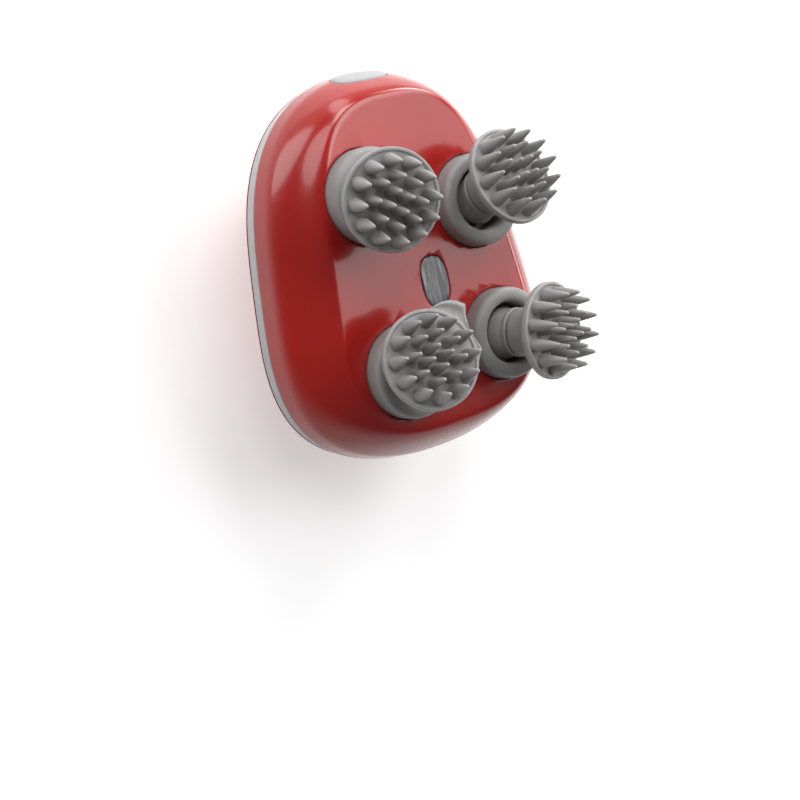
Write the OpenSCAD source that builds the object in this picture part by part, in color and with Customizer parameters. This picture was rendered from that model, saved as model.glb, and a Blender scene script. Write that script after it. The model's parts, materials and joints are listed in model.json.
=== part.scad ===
// Handheld electric scalp massager: an egg-shaped two-part body with four wobbling silicone heads.
// Units are millimetres. +Z points from the resting back to the massage face. -X is the button end.

/* [Body] */
// Length of the body from the button end to the far end
body_l = 112.2; // [110:0.2:118]
// Width of the body at its middle
body_w = 89.8; // [88:0.2:96]
// How much the body widens towards the far end, as a share of its width
egg_taper = 0.16; // [0.12:0.01:0.2]
// Height of the massage face above the back that the body rests on
face_z = 48; // [48:0.5:54]
// Wall thickness of both covers
wall = 2.2; // [1.8:0.1:2.4]
// Length of the flat massage face
face_l = 95; // [92:0.5:97]
// Width of the flat massage face at its middle
face_w = 62.5; // [60:0.5:64]
// How much the flat face widens towards the far end, as a share of its width
face_taper = 0.18; // [0.12:0.01:0.2]
// Sideways shift of the flat face towards the narrow pair of heads
face_shift = 2; // [0:0.25:3]
// Drop from the face to the crease that runs round the front cover
crease_drop = 10; // [8:0.5:11]
// Inset of the crease from the widest outline
crease_inset = 1; // [0.5:0.1:1.5]
// Drop from the face to the top edge of the grip band
band_drop = 16; // [15:0.5:17]
// Height of the grip band
band_h = 5; // [4.5:0.25:6]
// Depth of the groove that holds the grip band
band_depth = 2.2; // [1.8:0.1:2.4]
// Inset of the rear cover's rim from the widest outline
back_edge = 0.8; // [0.6:0.05:1]
// Lean of the back dome from upright, just under the band
dome_lean = 37; // [34:0.5:39]
// Inset of the flat resting area from the widest outline
dome_run = 31; // [29:0.5:32]

/* [Heads] */
// X of the head of the wide pair that is nearest the button
head_ul_x = -20.8; // [-21.4:0.1:-20.2]
// X of the other head of the wide pair
head_ll_x = 29.4; // [28.8:0.1:29.8]
// X of the head of the narrow pair that is nearest the button
head_ur_x = -12.7; // [-13:0.1:-12.4]
// X of the other head of the narrow pair
head_lr_x = 27.2; // [26.9:0.1:27.5]
// Y of the wide pair of heads
wide_row_y = -13; // [-14:0.25:-12.5]
// Tilt of each head from upright
tilt = 15; // [12:0.25:15.5]
// Way each head leans at rest, degrees from +X, in the order of HEADS
lean = [-62.8, -136.8, 161, 74.6];
// Turn of each head's pin pattern at rest, degrees, in the order of HEADS
pin_turn = [28, 7, 21.5, 25.5];
// Depth of the wobble centre below the massage face
wobble_drop = 1; // [0.5:0.25:1.5]
// Distance from the wobble centre to the top of the head's rim
rim_reach = 19.6; // [18.4:0.1:20]
// Radius of the head's disc
disc_r = 14.15; // [14.1:0.05:14.3]
// Radius of the head's neck
neck_r = 7.2; // [7:0.1:7.4]

/* [Silicone pins] */
// Height of the pins above the rim
pin_h = 8.2; // [7:0.1:9]
// Base radius of a pin of the outer ring
outer_pin_r = 1.85; // [1.6:0.05:1.85]
// Base radius of a pin of the middle ring and the centre
inner_pin_r = 1.5; // [1.3:0.05:1.8]
// Radius of a pin's rounded tip
tip_r = 0.6; // [0.5:0.05:0.8]
// Radius of the outer ring of pins
outer_ring_r = 10.9; // [10.5:0.05:10.9]
// Pins in the outer ring
outer_count = 12; // [8:1:12]
// Radius of the middle ring of pins
middle_ring_r = 6.7; // [6.4:0.1:7]
// Pins in the middle ring
middle_count = 8; // [6:1:8]
// Radius of the ring of centre pins
centre_ring_r = 2.9; // [2.8:0.1:3.2]
// Pins in the centre ring
centre_count = 4; // [3:1:4]

/* [Boots] */
// Radius of the four round holes in the massage face
hole_r = 13.75; // [13.5:0.05:14]
// Radial clearance between a boot and its hole
boot_gap = 0.25; // [0.15:0.05:0.3]
// Height of a boot above the massage face
boot_h = 5.5; // [5:0.1:6]
// Radius of a boot's opening
boot_open_r = 8.9; // [8.8:0.05:9.1]

/* [Gears] */
// Gear module
gear_module = 1; // [0.98:0.01:1]
// Teeth on each head gear
head_teeth = 24; // [24:1:24]
// Teeth on the drive gear between the wide pair
drive_teeth = 28; // [28:1:28]
// Teeth on the idler gear between the narrow pair
idler_teeth = 18; // [18:1:18]
// Thickness of the gears
gear_t = 6; // [5:0.5:6.5]
// Play taken off each tooth flank
backlash = 0.09; // [0.05:0.01:0.15]
// Radius of the tilted crank pins
crank_r = 2.5; // [2:0.1:2.6]
// Radius of the upper journal of a head gear
journal_r = 6; // [5.8:0.1:6.2]
// Radius of the lower journal of a head gear
foot_r = 3; // [2.5:0.1:3.5]
// Radius of the drive shaft and of the idler pin
shaft_r = 2; // [1.5:0.1:2.5]
// Radial running clearance of shafts and pins
run_gap = 0.05; // [0.03:0.01:0.08]

/* [Chassis] */
// Depth of the deck's top below the massage face
deck_drop = 6.5; // [6.5:0.25:7]
// Thickness of the deck
deck_t = 3; // [2.5:0.25:3.5]
// Thickness of the base plate under the gears
base_t = 2.5; // [2:0.25:3]
// Radius of the plates' lobe round each head's axis
plate_r = 13.6; // [13.5:0.1:13.7]

/* [Button and port] */
// Width of the power button
button_w = 18; // [16:0.5:20]
// Height of the power button
button_h = 9; // [8:0.25:9.5]
// Height that the button stands proud of the cover
button_proud = 0.5; // [0.3:0.1:0.8]
// Travel of the power button
button_travel = 0.8; // [0.5:0.1:0.9]
// Clearance round the button, the lens and the port plug
trim_gap = 0.25; // [0.15:0.05:0.3]
// Length of the oval lens in the middle of the face
lens_l = 14.6; // [13:0.2:15]
// Width of the oval lens
lens_w = 9.2; // [8:0.2:9.6]
// Width of the port plug
port_w = 12; // [11:0.5:13]
// Height of the port plug
port_h = 6; // [5.5:0.25:6.5]

/* [Motor and battery] */
// Radius of the motor can
motor_r = 12; // [10:0.5:12]
// Radius of the reduction gearbox
gearbox_r = 12.2; // [11:0.1:12.4]
// Height of the reduction gearbox
gearbox_h = 9; // [8:0.5:9.5]
// Radius of the battery cell
cell_r = 7; // [6:0.25:7.25]
// Length of the battery cell
cell_l = 50; // [44:1:52]

/* [Hidden] */
HEADS = ["ul", "ll", "ur", "lr"];

$fn = 64;
outline_n = 80;
oval_n = 48;
slope_steps = 6;
dome_steps = 9;
// Steps of the plain inner forms that trim the screw posts
core_steps = 5;
eps = 0.01;

// Corner sharpness of the body's outline and of the flat face's, each along its length and across it
body_sharp = [3.2, 2.2];
face_sharp = [4, 3];
// Share of the slope's drop that is linear, which leaves a soft edge round the face
slope_lin = 0.35;

// Heights, from the face down
band_top = face_z - band_drop;
band_bottom = band_top - band_h;
split_z = (band_top + band_bottom) / 2;
deck_top = face_z - deck_drop;
deck_bottom = deck_top - deck_t;
gear_air = 2.5;
gear_top = deck_bottom - gear_air;
gear_bottom = gear_top - gear_t;
base_air = 0.5;
base_top = gear_bottom - base_air;
base_bottom = base_top - base_t;
wobble_z = face_z - wobble_drop;

// Gear centres. The drive gear meets both wide heads, the idler meets the drive gear and both narrow heads.
head_pitch = gear_module * head_teeth / 2;
drive_pitch = gear_module * drive_teeth / 2;
idler_pitch = gear_module * idler_teeth / 2;
mesh_slack = 0.02;
function leg(hyp, side) = sqrt(hyp * hyp - side * side);
drive_at = [(head_ul_x + head_ll_x) / 2,
    wide_row_y + leg(head_pitch + drive_pitch + mesh_slack, (head_ll_x - head_ul_x) / 2)];
idler_x = (head_ur_x + head_lr_x) / 2;
idler_at = [idler_x, drive_at.y + leg(drive_pitch + idler_pitch + mesh_slack, idler_x - drive_at.x)];
narrow_row_y = idler_at.y + leg(head_pitch + idler_pitch + mesh_slack, (head_lr_x - head_ur_x) / 2);
head_at = [[head_ul_x, wide_row_y], [head_ll_x, wide_row_y],
    [head_ur_x, narrow_row_y], [head_lr_x, narrow_row_y]];

function bearing(a, b) = atan2(b.y - a.y, b.x - a.x);
// Turn of gear b, so that it meshes with gear a that has a tooth centred at turn_a
function mesh_turn(a, teeth_a, turn_a, b, teeth_b) =
    let (way = bearing(a, b))
    way + 180 - (180 - teeth_a * (way - turn_a)) / teeth_b;
drive_turn = 0;
idler_turn = mesh_turn(drive_at, drive_teeth, drive_turn, idler_at, idler_teeth);
head_turn = [mesh_turn(drive_at, drive_teeth, drive_turn, head_at[0], head_teeth),
    mesh_turn(drive_at, drive_teeth, drive_turn, head_at[1], head_teeth),
    mesh_turn(idler_at, idler_teeth, idler_turn, head_at[2], head_teeth),
    mesh_turn(idler_at, idler_teeth, idler_turn, head_at[3], head_teeth)];

// Chassis and fastener places
post_r = 2.6;
post_at = [[head_ul_x - 5.2, (wide_row_y + narrow_row_y) / 2 + 1], [drive_at.x, wide_row_y - 11.6],
    [head_ll_x + 9.1, (wide_row_y + narrow_row_y) / 2 + 0.5], [idler_x, idler_at.y + 12.9]];
case_post_r = 2.9;
// Wall that the case posts add round the pocket of a screw head
pocket_wall = 0.7;
case_post_at = [[-39.5, -17], [-37, 17], [44.5, 16.5], [4, -33.5], [7, 37]];
screw_r = 1.2;
screw_head_r = 2.2;
screw_fit = 0.05;
case_head_z = split_z - 7.5;
case_head_h = 1.8;

// The button stands on the slope at this u, just above the crease
button_share = 0.97;
button_at = [-face_l / 2 - button_share * (body_l / 2 - crease_inset - face_l / 2),
    face_z - crease_drop * button_share * (slope_lin + (1 - slope_lin) * button_share)];
button_lift = 14;
button_flange = 0.9;
board_air = 0.15;
tact_h = 3.5;
tact_board_t = 1.2;
tact_board_l = 10;
button_back = wall + 2.3 + button_flange;
plunger_l = 1;
// Depths below the button's face: top of the tact switch, and back of its board
tact_top = button_back + plunger_l + button_travel + board_air;
tact_back = tact_top + tact_h + tact_board_t;

// Lens and port. trim_sharp is the corner sharpness of the lens and of the button pad.
lens_at = [7, 3.7];
lens_flange = 1.2;
lens_top = face_z + 0.1;
trim_sharp = 2.6;
port_z = 20;
plug_x = body_l / 2 - 12;
socket_h = 3.4;
socket_x = plug_x - 8.3;
board_t = 1.6;
board_z = port_z - socket_h / 2 - board_t;

// Main board and battery cell
board_x = drive_at.x + gearbox_r + 4;
board_half_w = 8;
board_post_at = [for (s = [-1, 1]) [board_x + 5.5, s * (board_half_w - 2)]];
cell_x = 3;
cell_y = 16;
cell_z = base_bottom - cell_r - 1.5;

function wedge(v, sharp) = sign(v) * pow(abs(v), 2 / sharp);
function egg(l, w, taper, sharp, a) =
    let (ux = wedge(cos(a), sharp[0]), uy = wedge(sin(a), sharp[1]))
    [l / 2 * ux, w / 2 * uy * (1 + taper * ux)];
function body_egg(inset, a) = egg(body_l - 2 * inset, body_w - 2 * inset, egg_taper, body_sharp, a);
function egg_ring(inset, z) =
    [for (i = [0:outline_n - 1]) let (p = body_egg(inset, i * 360 / outline_n)) [p.x, p.y, z]];
// A ring on the sloping shoulder between the flat face (u = 0) and the crease (u = 1)
function slope_ring(inset, top_z, drop, u) =
    [for (i = [0:outline_n - 1])
        let (a = i * 360 / outline_n,
            p = egg(face_l - inset, face_w - inset, face_taper, face_sharp, a) + [0, face_shift],
            s = p + (body_egg(crease_inset + inset, a) - p) * u)
        [s.x, s.y, top_z - drop * (slope_lin * u + (1 - slope_lin) * u * u)]];
// The u at which the slope has made a share of its drop
function slope_u(share) =
    (sqrt(slope_lin * slope_lin + 4 * (1 - slope_lin) * share) - slope_lin) / (2 * (1 - slope_lin));
function shoulder(inset, steps = slope_steps) =
    [for (k = [steps:-1:0])
        slope_ring(inset, face_z - inset, crease_drop - inset, k / steps)];
// Ring k of the back dome: 0 is at the band, and the last step is the flat resting area
function dome_ring(inset, k, steps = dome_steps) =
    let (t = k / steps, rim = back_edge + inset / cos(dome_lean),
        foot = back_edge + band_bottom * tan(dome_lean) + inset * tan(45 - dome_lean / 2),
        up = (1 - t) * (1 - t))
    egg_ring(rim * up + 2 * foot * t * (1 - t) + dome_run * t * t, band_bottom * up + inset * (1 - up));
function dome(inset, first = dome_steps, steps = dome_steps) =
    [for (k = [first:-1:0]) dome_ring(inset, k, steps)];
// Insets from the widest outline: the front cover's rim, the floor of the band's groove, the lips' inner face
front_edge = 0.2;
groove_in = band_depth + front_edge;
lip_t = 1.6;
lip_in = groove_in + lip_t;
lip_z_gap = 0.1;
seal_t = 1.35;

function quads(n, a, b, flip) =
    [for (j = [0:n - 1])
        let (k = (j + 1) % n)
        flip ? [a + j, a + k, b + k, b + j] : [a + j, b + j, b + k, a + k]];
function flatten(v) = [for (a = v) for (b = a) b];
function run(n) = [for (j = [0:n - 1]) j];
function back(v) = [for (j = [len(v) - 1:-1:0]) v[j]];
function plus(v, k) = [for (a = v) a + k];

// Closed solid through rings that go up
module loft(rings) {
    n = len(rings[0]);
    m = len(rings);
    sides = flatten([for (i = [0:m - 2]) quads(n, i * n, (i + 1) * n, false)]);
    polyhedron(points = flatten(rings), convexity = 6,
        faces = concat([run(n)], sides, [plus(back(run(n)), (m - 1) * n)]));
}

// Open shell: both skins go from the rim to the closed end. down is true if the closed end is below.
module shell(outer, inner, down) {
    n = len(outer[0]);
    m = len(outer);
    k = len(inner);
    base = m * n;
    outer_sides = flatten([for (i = [0:m - 2]) quads(n, i * n, (i + 1) * n, down)]);
    inner_sides = flatten([for (i = [0:k - 2]) quads(n, base + i * n, base + (i + 1) * n, !down)]);
    cap = plus(back(run(n)), (m - 1) * n);
    ceiling = plus(run(n), base + (k - 1) * n);
    polyhedron(points = concat(flatten(outer), flatten(inner)), convexity = 8,
        faces = concat([down ? back(cap) : cap], [down ? back(ceiling) : ceiling],
            outer_sides, inner_sides, quads(n, 0, base, !down)));
}

// Ring swept round the outline from a closed list of [inset, z] corners, outside going up
module band_loop(corners) {
    rings = [for (c = corners) egg_ring(c[0], c[1])];
    n = outline_n;
    m = len(rings);
    polyhedron(points = flatten(rings), convexity = 6,
        faces = flatten([for (i = [0:m - 1]) quads(n, i * n, ((i + 1) % m) * n, false)]));
}

function oval(l, w) =
    [for (i = [0:oval_n - 1])
        let (a = i * 360 / oval_n) [l / 2 * wedge(cos(a), trim_sharp), w / 2 * wedge(sin(a), trim_sharp)]];
function flat(ring) = [for (p = ring) [p.x, p.y]];

// Rounded slot outline, w wide and h high
module slot2d(w, h) {
    r = h / 2 - eps;
    square([w - 2 * r, h], center = true);
    for (s = [-1, 1]) translate([s * (w / 2 - r), 0]) circle(r);
}

module along_x(x0, x1) {
    translate([x0, 0, 0]) rotate([90, 0, 90]) linear_extrude(x1 - x0) children();
}

// Involute spur gear outline with a tooth centred at angle 0
function inv(a) = tan(a) * 180 / PI - a;
pressure = 20;
addendum = 0.95;
dedendum = 1.25;
function half_tooth(teeth, r) =
    let (pitch = gear_module * teeth / 2, rb = pitch * cos(pressure))
    90 / teeth - backlash / pitch * 180 / PI + inv(pressure) - (r > rb ? inv(acos(rb / r)) : 0);
function gear_points(teeth) =
    let (pitch = gear_module * teeth / 2, rb = pitch * cos(pressure), root = pitch - dedendum * gear_module,
        tip = pitch + addendum * gear_module, steps = 4,
        radii = concat([root], [for (k = [0:steps]) max(rb, root) + (tip - max(rb, root)) * k / steps]))
    [for (t = [0:teeth - 1])
        let (mid = t * 360 / teeth)
        for (side = [-1, 1])
            for (k = [0:len(radii) - 1])
                let (r = radii[side < 0 ? k : len(radii) - 1 - k], a = mid + side * half_tooth(teeth, r))
                [r * cos(a), r * sin(a)]];
module gear_at(place, teeth, turn) {
    translate([place.x, place.y, gear_bottom]) rotate([0, 0, turn])
        linear_extrude(gear_t) polygon(gear_points(teeth));
}

module rod(place, r, z0, z1) {
    translate([place.x, place.y, z0]) cylinder(r = r, h = z1 - z0);
}

// Frame of one head: origin at the wobble centre, +Z along the tilted axis
module tilted(i) {
    translate([head_at[i].x, head_at[i].y, wobble_z])
        rotate([0, 0, lean[i]]) rotate([0, tilt, 0]) children();
}

// Frame of the power button: origin on the shoulder, +Z outwards along its travel, +X up the slope
module on_button(z) {
    translate([button_at.x, 0, button_at.y]) rotate([0, button_lift - 90, 0]) translate([0, 0, z]) children();
}

function arc(cx, cy, rx, ry, a0, a1, n) =
    [for (k = [0:n]) let (a = a0 + (a1 - a0) * k / n) [cx + rx * cos(a), cy + ry * sin(a)]];

// ---------------------------------------------------------------- covers

function front_outer() = concat([egg_ring(groove_in, split_z + lip_z_gap)],
    [egg_ring(groove_in, band_top)], [egg_ring(front_edge, band_top)], shoulder(0));
function front_inner() = concat([egg_ring(lip_in, split_z + lip_z_gap)],
    [egg_ring(lip_in, band_top + lip_t)], shoulder(wall));

module front_cover() {
    color("firebrick") difference() {
        union() {
            shell(front_outer(), front_inner(), false);
            intersection() {
                for (p = case_post_at) rod(p, case_post_r, split_z + lip_z_gap, face_z);
                loft(concat([egg_ring(lip_in + wall, split_z)], shoulder(wall / 2, core_steps)));
            }
            for (p = post_at) rod(p, post_r, deck_top, face_z - wall / 2);
        }
        for (p = head_at) rod(p, hole_r, deck_top, face_z + boot_h);
        translate([lens_at.x, lens_at.y, deck_top]) linear_extrude(2 * deck_drop)
            polygon(oval(lens_l + 2 * trim_gap, lens_w + 2 * trim_gap));
        on_button(-wall - 3) linear_extrude(wall + 6)
            polygon(oval(button_h + 2 * trim_gap, button_w + 2 * trim_gap));
        for (p = case_post_at) rod(p, screw_r + screw_fit, split_z - 1, split_z + 9);
        for (p = post_at) rod(p, screw_r + screw_fit, deck_top - 1, face_z - wall - 0.8);
    }
}

function rear_outer() = concat([egg_ring(groove_in, split_z)], [egg_ring(groove_in, band_bottom)],
    back(dome(0)));
function rear_inner() = concat([egg_ring(lip_in, split_z)], [egg_ring(lip_in, band_bottom - lip_t)],
    [for (k = [1:dome_steps]) dome_ring(wall, k)]);

// Upright rib with a round seat for the battery cell. Two stand at this share of its length from its middle.
rest_share = 0.28;
module cell_rest(x) {
    rest_t = 2.4;
    difference() {
        translate([x - rest_t / 2, cell_y - cell_r, 0]) cube([rest_t, 2 * cell_r, cell_z - 0.75 * cell_r]);
        translate([x - rest_t, cell_y, cell_z]) rotate([0, 90, 0]) cylinder(r = cell_r + 0.1, h = 2 * rest_t);
    }
}

module rear_cover() {
    color("firebrick") difference() {
        union() {
            shell(rear_outer(), rear_inner(), true);
            intersection() {
                union() {
                    for (p = case_post_at) {
                        rod(p, case_post_r, 0, split_z);
                        rod(p, case_post_r + pocket_wall, 0, case_head_z + 1.5);
                    }
                    for (s = [-1, 1]) cell_rest(cell_x + s * rest_share * cell_l);
                    for (p = board_post_at) rod(p, 2.2, 0, board_z);
                }
                loft(concat(dome(wall / 2, core_steps, core_steps), [egg_ring(lip_in + wall, split_z)]));
            }
        }
        for (p = case_post_at) {
            rod(p, screw_head_r + 0.3, -1, case_head_z);
            rod(p, screw_r + screw_fit, 0, split_z + 1);
        }
        translate([0, 0, port_z]) along_x(plug_x - 1, body_l)
            slot2d(port_w + 2 * trim_gap, port_h + 2 * trim_gap);
    }
}

module grip_band() {
    z0 = band_bottom + trim_gap / 2;
    z1 = band_top - trim_gap / 2;
    in = groove_in - 0.05;
    low = back_edge + 0.25;
    high = front_edge + 0.2;
    soft = 0.4;
    color("gainsboro") band_loop([[low + soft, z0], [low, z0 + soft], [high, z1 - soft], [high + soft, z1],
        [in, z1], [in, z0]]);
}

// Soft gasket between the two covers, just inside their lips
module cover_seal() {
    in = lip_in + 0.05;
    half_h = 0.9;
    color("dimgray") band_loop([[in, split_z - half_h], [in, split_z + half_h],
        [in + seal_t, split_z + half_h], [in + seal_t, split_z - half_h]]);
}

module face_lens() {
    color("dimgray") translate([lens_at.x, lens_at.y, 0]) {
        foot_z = face_z - wall - 1;
        translate([0, 0, foot_z]) linear_extrude(lens_top - foot_z) polygon(oval(lens_l, lens_w));
        translate([0, 0, foot_z])
            linear_extrude(0.9) polygon(oval(lens_l + 2 * lens_flange, lens_w + 2 * lens_flange));
    }
}

module lens_board() {
    size = [16, 10, 1.2];
    color("darkgreen") translate([lens_at.x, lens_at.y, deck_top]) {
        translate([-size.x / 2, -size.y / 2, 0]) cube(size);
        for (x = [-4, 0, 4]) translate([x, 0, size.z - eps]) cylinder(r = 1.2, h = 1);
    }
}

// ---------------------------------------------------------------- boots

module boot(i) {
    r = hole_r - boot_gap;
    crest_r = (r + boot_open_r) / 2;
    half = (r - boot_open_r) / 2;
    foot = 2.5;
    round_z = 2;
    web_z = -wobble_drop - 1.4;
    web_t = 1.2;
    web_r = 7.3;
    color("gray") translate([head_at[i].x, head_at[i].y, face_z]) rotate_extrude() polygon(concat(
        [[r - foot, -deck_drop], [r, -deck_drop]],
        arc(crest_r, round_z, half, boot_h - round_z, 0, 180, 12),
        [[boot_open_r, web_z + 0.4], [web_r, web_z], [web_r, web_z - web_t], [boot_open_r, web_z - web_t]]));
}

// ---------------------------------------------------------------- chassis

module plate2d() {
    a = head_at;
    r = plate_r;
    for (p = a) translate(p) circle(r);
    polygon([[a[0].x, a[0].y - r], [a[1].x, a[1].y - r], [a[1].x + r, a[1].y], [a[3].x + r, a[3].y],
        [a[3].x, a[3].y + r], [a[2].x, a[2].y + r], [a[2].x - r, a[2].y], [a[0].x - r, a[0].y]]);
}

// Plate at height z0, kept inside the given ring of the covers
module plate(z0, t, ring) {
    translate([0, 0, z0]) linear_extrude(t) difference() {
        intersection() {
            plate2d();
            polygon(flat(ring));
        }
        translate(case_post_at[4]) circle(case_post_r + 0.6);
    }
}

plate_air = 0.3;
deck_bush_t = 1.5;
base_bush_t = 1;
drive_bush_t = 1;

// Deck with a tongue towards the button, and a tab at its end that holds the switch board
module deck_plate() {
    tongue_w = 10;
    tab_w = 8.5;
    tab_t = 2;
    color("lightgray") difference() {
        union() {
            plate(deck_bottom, deck_t, slope_ring(wall + plate_air, 0, 0,
                slope_u((deck_drop - wall) / (crease_drop - wall))));
            translate([-body_l / 2, -tongue_w / 2, deck_bottom])
                cube([body_l / 2 + head_ul_x, tongue_w, deck_t]);
            on_button(-tact_back - tab_t) translate([1 - tact_board_l / 2, -tab_w / 2, 0])
                cube([tact_board_l - 1, tab_w, 2 * tab_t]);
        }
        on_button(-tact_back) translate([-body_l / 2, -body_w / 2, 0]) cube([body_l, body_w, body_l]);
        for (p = head_at) rod(p, journal_r + run_gap + deck_bush_t, deck_bottom - 1, deck_top + 1);
        rod(drive_at, shaft_r + run_gap + drive_bush_t, deck_bottom - 1, deck_top + 1);
        rod(idler_at, shaft_r, deck_bottom - 1, deck_top + 1);
        for (p = post_at) rod(p, screw_r + screw_fit, deck_bottom - 1, deck_top + 1);
    }
}

module base_plate() {
    color("lightgray") difference() {
        union() {
            plate(base_bottom, base_t, egg_ring(lip_in + seal_t + plate_air, 0));
            for (p = post_at) rod(p, post_r, base_top - eps, deck_bottom);
        }
        for (p = head_at) rod(p, foot_r + run_gap + base_bush_t, base_bottom - 1, base_top + 1);
        rod(drive_at, shaft_r + 1.2, base_bottom - 1, base_top + 1);
        rod(idler_at, shaft_r, base_bottom - 1, base_top + 1);
        for (p = post_at) rod(p, screw_r + screw_fit, base_bottom - 1, deck_bottom + 1);
        for (p = motor_screw_at) {
            rod(p, motor_screw_r + screw_fit, base_bottom - 1, base_top + 1);
            rod(p, motor_head_r + screw_fit, base_top - motor_head_h, base_top + 1);
        }
    }
}

// Screws that hang the gearbox from the base plate, with their heads sunk in it
motor_screw_at = [drive_at + [8.5, 0], drive_at - [8.5, 0]];
motor_screw_r = 1;
motor_head_r = 2;
motor_head_h = 1.5;
motor_grip = 4.5;

module deck_bushes() {
    color("peru") {
        for (p = head_at) difference() {
            rod(p, journal_r + run_gap + deck_bush_t, deck_bottom, deck_top);
            rod(p, journal_r + run_gap, deck_bottom - 1, deck_top + 1);
        }
        difference() {
            rod(drive_at, shaft_r + run_gap + drive_bush_t, deck_bottom, deck_top);
            rod(drive_at, shaft_r + run_gap, deck_bottom - 1, deck_top + 1);
        }
    }
}

module base_bushes() {
    color("peru") for (p = head_at) difference() {
        rod(p, foot_r + run_gap + base_bush_t, base_bottom, base_top);
        rod(p, foot_r + run_gap, base_bottom - 1, base_top + 1);
    }
}

module idler_pin() {
    color("silver") rod(idler_at, shaft_r, base_bottom, deck_top);
}

// ---------------------------------------------------------------- drive

module motor_gearbox() {
    color("slategray") difference() {
        rod(drive_at, gearbox_r, base_bottom - gearbox_h, base_bottom);
        rod(drive_at, shaft_r + run_gap, base_bottom - gearbox_h + 2, base_bottom + 1);
        for (p = motor_screw_at)
            rod(p, motor_screw_r + screw_fit, base_bottom - motor_grip - 0.5, base_bottom + 1);
    }
}

// Can with the boss of its rear bearing just above the rear cover's floor
module motor_can() {
    boss_z = wall + 0.3;
    boss_h = 2;
    color("silver") {
        rod(drive_at, motor_r, boss_z + boss_h, base_bottom - gearbox_h);
        rod(drive_at, motor_r / 3, boss_z, boss_z + boss_h + eps);
    }
}

module motor_screws() {
    color("dimgray") for (p = motor_screw_at) {
        rod(p, motor_screw_r, base_bottom - motor_grip, base_top - motor_head_h + eps);
        rod(p, motor_head_r, base_top - motor_head_h, base_top - 0.1);
    }
}

module drive_gear() {
    color("ivory") difference() {
        union() {
            gear_at(drive_at, drive_teeth, drive_turn);
            rod(drive_at, shaft_r + 2.5, gear_top - eps, deck_bottom - 0.3);
        }
        rod(drive_at, shaft_r + 0.01, gear_bottom - 1, gear_top + gear_air);
    }
}

module drive_shaft() {
    color("silver") rod(drive_at, shaft_r, base_bottom - gearbox_h + 2.3, deck_top - 0.5);
}

module idler_gear() {
    color("ivory") difference() {
        union() {
            gear_at(idler_at, idler_teeth, idler_turn);
            rod(idler_at, shaft_r + 2, gear_top - eps, deck_bottom - 0.3);
        }
        rod(idler_at, shaft_r + run_gap, gear_bottom - 1, gear_top + gear_air);
    }
}

crank_down = 9;
crank_up = 14;
module head_gear(i) {
    p = head_at[i];
    color("ivory") difference() {
        union() {
            gear_at(p, head_teeth, head_turn[i]);
            rod(p, foot_r, base_bottom + 0.2, gear_bottom + eps);
            rod(p, journal_r + 1.8, gear_top - eps, deck_bottom - 0.3);
            rod(p, journal_r, gear_top - eps, deck_top + 0.4);
        }
        tilted(i) translate([0, 0, -crank_down]) cylinder(r = crank_r + 0.01, h = crank_down);
    }
}

module crank_pin(i) {
    color("silver") tilted(i) translate([0, 0, -crank_down + 0.05])
        cylinder(r = crank_r, h = crank_down + crank_up);
}

clip_t = 0.8;
module pin_clip(i) {
    color("dimgray") tilted(i) translate([0, 0, crank_up - clip_t - 0.2]) difference() {
        cylinder(r = crank_r + 1.2, h = clip_t);
        translate([0, 0, -1]) cylinder(r = crank_r + 0.01, h = clip_t + 2);
    }
}

// ---------------------------------------------------------------- heads

hub_foot = -2.5;
hub_r = 5.9;
core_r = 5.4;
barb_r = 6.1;
neck_foot = 10;
groove_z = 8.6;
hub_shelf = crank_up - clip_t - 0.5;
hub_top = 16.2;
module hub(i) {
    bore = crank_r + run_gap;
    pocket = crank_r + 1.5;
    color("gray") tilted(i) rotate_extrude() polygon([[bore, hub_foot], [hub_r - 0.3, hub_foot],
        [hub_r, hub_foot + 0.3], [hub_r, groove_z], [core_r, groove_z], [core_r, neck_foot + 2],
        [barb_r, neck_foot + 2.3], [barb_r, neck_foot + 3.4], [core_r, neck_foot + 4.2], [core_r, hub_top],
        [pocket, hub_top], [pocket, hub_shelf], [bore, hub_shelf]]);
}

// Soft collar that stands on the hub inside the boot
module sleeve(i) {
    in = hub_r + 0.05;
    lip_z = 8.1;
    color("gray") tilted(i) rotate_extrude() polygon([[in, 1], [7.7, 1], [7.8, 1.8], [7.4, 4.4], [6.8, 6],
        [6.8, 6.8], [7.2, 7.3], [7.25, 7.8], [7, lip_z], [in, lip_z]]);
}

floor_z = rim_reach - 0.5;
pin_top = rim_reach + pin_h;
module silicone_pin(base_r) {
    z0 = floor_z - 0.6;
    z1 = floor_z + 0.3;
    len_taper = pin_top - tip_r - z1;
    bulge = 1.35;
    steps = 5;
    rotate_extrude($fn = 24) polygon(concat([[0, z0], [base_r, z0]],
        [for (k = [0:steps]) let (t = k / steps)
            [tip_r + (base_r - tip_r) * (1 - pow(t, bulge)), z1 + t * len_taper]],
        [for (a = [30, 60]) [tip_r * cos(a), pin_top - tip_r + tip_r * sin(a)]], [[0, pin_top]]));
}

module pin_ring(count, ring_r, base_r, turn) {
    for (k = [0:count - 1])
        rotate([0, 0, turn + k * 360 / count]) translate([ring_r, 0, 0]) silicone_pin(base_r);
}

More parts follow.
